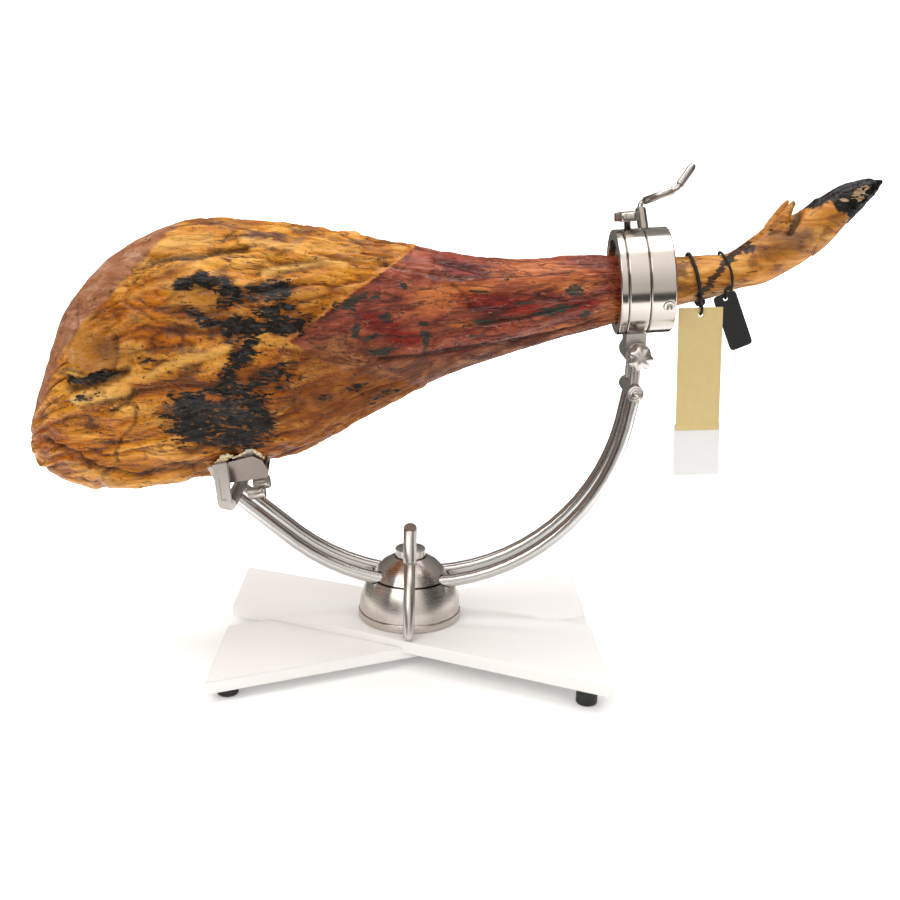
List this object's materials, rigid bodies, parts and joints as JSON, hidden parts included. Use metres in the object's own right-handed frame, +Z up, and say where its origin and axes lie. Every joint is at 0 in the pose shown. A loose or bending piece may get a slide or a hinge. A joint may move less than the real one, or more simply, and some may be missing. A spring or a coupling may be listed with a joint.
{
  "type": "cured ham on a carving stand",
  "caption": "Whole cured ham with its hoof, lying in a carving stand of crossed boards, a domed clamp hub, bent rods, a cradle and a clamping ring.",
  "frame": {"origin": "centre of the whole object's footprint, at the bottom of the feet", "axes": "+X towards the hoof, +Z up, and the carving side that was pictured faces -Y"},
  "size_m": [0.774, 0.2968, 0.4702],
  "materials": {
    "board_white": "satin",
    "brushed_steel": "satin",
    "polished_steel": "polished",
    "foot_rubber": "matte",
    "ham_flesh": "satin",
    "gold_card": "satin",
    "white_label": "satin",
    "black_card": "satin",
    "black_string": "matte"
  },
  "bodies": {
    "base": {"board_upper": "board_white", "board_lower": "board_white", "foot_front_left": "foot_rubber", "foot_front_right": "foot_rubber", "foot_back_left": "foot_rubber", "foot_back_right": "foot_rubber", "hub_flange": "brushed_steel", "hub_bowl": "brushed_steel", "hub_cap": "brushed_steel"},
    "lever": {"hub_nut": "brushed_steel", "lever_sleeve": "brushed_steel", "lever_rod": "brushed_steel"},
    "gondola": {"barrel": "brushed_steel", "barrel_screw": "brushed_steel", "link_bar_front": "brushed_steel", "link_bar_back": "brushed_steel", "hinge_barrel": "brushed_steel", "hinge_washer": "brushed_steel", "ring_lug": "brushed_steel", "ring_flange": "brushed_steel", "ring_collar": "brushed_steel", "ring_rear": "brushed_steel", "ring_set_screw": "brushed_steel", "cradle_axle": "brushed_steel", "cradle_cheek_front": "brushed_steel", "cradle_cheek_back": "brushed_steel", "cradle_tray": "brushed_steel", "cradle_toothed_plate": "brushed_steel", "cradle_bolt_front": "brushed_steel", "cradle_bolt_back": "brushed_steel", "rod_front": "polished_steel", "rod_back": "polished_steel", "ham": "ham_flesh", "tag_gold": "gold_card", "tag_label": "white_label", "tag_black": "black_card", "string_gold_tag": "black_string", "string_black_tag": "black_string"},
    "star_knob": {"star_knob": "brushed_steel"},
    "lock_knob": {"lock_knob": "brushed_steel"},
    "crank": {"crank_screw": "brushed_steel", "crank_arm": "brushed_steel", "crank_grip": "brushed_steel"}
  },
  "joints": [
    {"name": "gondola_tilt", "type": "hinge", "parent": "base", "child": "gondola", "pos_m": [-0.0253, 0.00525, 0.2657], "axis": [0, 1, 0], "range_deg": [-12, 12]},
    {"name": "lever_turn", "type": "hinge", "parent": "base", "child": "lever", "pos_m": [-0.034, 0.00525, 0.093], "axis": [0, 0, 1], "range_deg": [-30, 30]},
    {"name": "star_knob_turn", "type": "hinge", "parent": "gondola", "child": "star_knob", "pos_m": [0.1745, -0.02275, 0.2975], "axis": [0, 1, 0], "continuous": true},
    {"name": "lock_knob_turn", "type": "hinge", "parent": "gondola", "child": "lock_knob", "pos_m": [0.16474, 0.00525, 0.36334], "axis": [-0.0785, 0, 0.9969], "continuous": true},
    {"name": "crank_turn", "type": "hinge", "parent": "gondola", "child": "crank", "pos_m": [0.18547, 0.00525, 0.36497], "axis": [-0.0601, 0.6428, 0.7637], "continuous": true}
  ]
}
